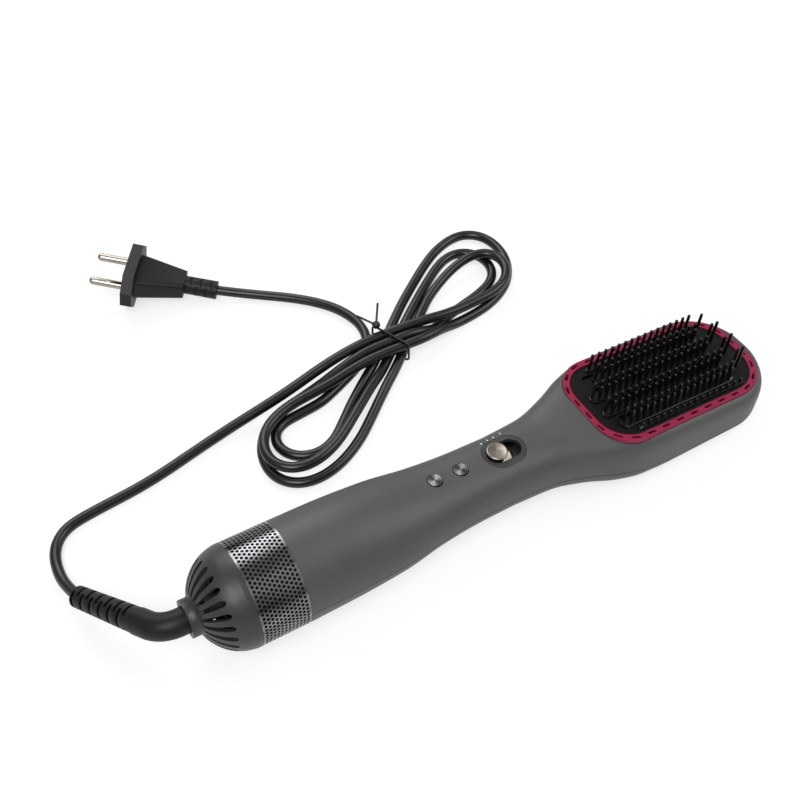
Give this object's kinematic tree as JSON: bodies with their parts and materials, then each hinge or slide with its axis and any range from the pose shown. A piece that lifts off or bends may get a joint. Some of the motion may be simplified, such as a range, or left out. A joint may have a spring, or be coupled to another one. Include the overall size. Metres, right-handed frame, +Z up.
{
  "type": "hot air straightening brush",
  "caption": "Hot-air straightening brush with a barrel handle, slotted rear cap, bristle head in a coloured outlet ring, push buttons, slide switch and a tied mains lead on a swivel.",
  "frame": {"origin": "on the table under the middle of the brush, which lies on its back; the lead isn't counted", "axes": "+X along the brush towards the tip of its head, +Z up through the bristles"},
  "size_m": [0.3502, 0.2731, 0.0492],
  "materials": {
    "shell": "fine matte moulded grain",
    "cap": "satin moulded",
    "mesh": "gunmetal sheet",
    "accent": "satin moulded",
    "plate": "matte moulded",
    "bristle": "satin heat-proof nylon",
    "bezel": "gloss moulded",
    "button": "spun metallic face",
    "knob": "champagne nickel plate",
    "carriage": "bright plate",
    "inner": "heat-proof moulding",
    "board": "circuit board",
    "steel": "bright steel",
    "brass": "plain",
    "wire": "insulated wire",
    "cord": "satin jacket",
    "plug": "matte moulded",
    "pins": "nickel plate",
    "tie": "coated wire"
  },
  "bodies": {
    "brush": {"upper_shell": "shell", "back_cover": "shell", "case_screws": "steel", "slide_bezel": "bezel", "rear_cap": "cap", "inlet_screen": "mesh", "screen_cage": "inner", "contact_block": "inner", "fan_mount": "inner", "motor": "steel", "motor_bushes": "brass", "heater_sleeve": "steel", "heater_former": "inner", "heater_coil": "steel", "duct_divider": "inner", "control_board": "board", "button_switches": "inner", "slide_switch": "inner", "thermostat": "inner", "thermal_fuse": "steel", "outlet_ring": "accent", "bristle_plate": "plate", "strip_far": "bristle", "strip_outer_far": "bristle", "strip_inner_far": "bristle", "strip_inner_near": "bristle", "strip_outer_near": "bristle", "strip_near": "bristle", "tip_comb": "bristle", "deck_frame": "inner", "supply_leads": "wire"},
    "button_rear": {"button_rear": "button"},
    "button_front": {"button_front": "button"},
    "slide": {"slide_knob": "knob", "slide_carriage": "carriage"},
    "rotor": {"fan": "inner", "motor_shaft": "steel"},
    "cord_swivel": {"strain_relief": "plug", "cord_lead": "cord", "cord_hank": "cord", "cord_tie": "tie", "cord_tail": "cord", "plug_body": "plug", "plug_pins": "pins"}
  },
  "joints": [
    {"name": "button_rear_press", "type": "slide", "parent": "brush", "child": "button_rear", "axis": [-0.0522, 0, -0.9986], "range_m": [0, 0.0008], "stiffness_N_per_m": 500, "springref_m": -0.001},
    {"name": "button_front_press", "type": "slide", "parent": "brush", "child": "button_front", "axis": [-0.0522, 0, -0.9986], "range_m": [0, 0.0008], "stiffness_N_per_m": 500, "springref_m": -0.001},
    {"name": "mode_slide", "type": "slide", "parent": "brush", "child": "slide", "axis": [0.9986, 0, -0.0522], "range_m": [0, 0.008]},
    {"name": "fan_spin", "type": "hinge", "parent": "brush", "child": "rotor", "pos_m": [-0.10091, 0, 0.02361], "axis": [0.9986, 0, -0.0522], "continuous": true},
    {"name": "cord_turn", "type": "hinge", "parent": "brush", "child": "cord_swivel", "pos_m": [-0.15504, 0, 0.02644], "axis": [0.9986, 0, -0.0522], "continuous": true}
  ]
}
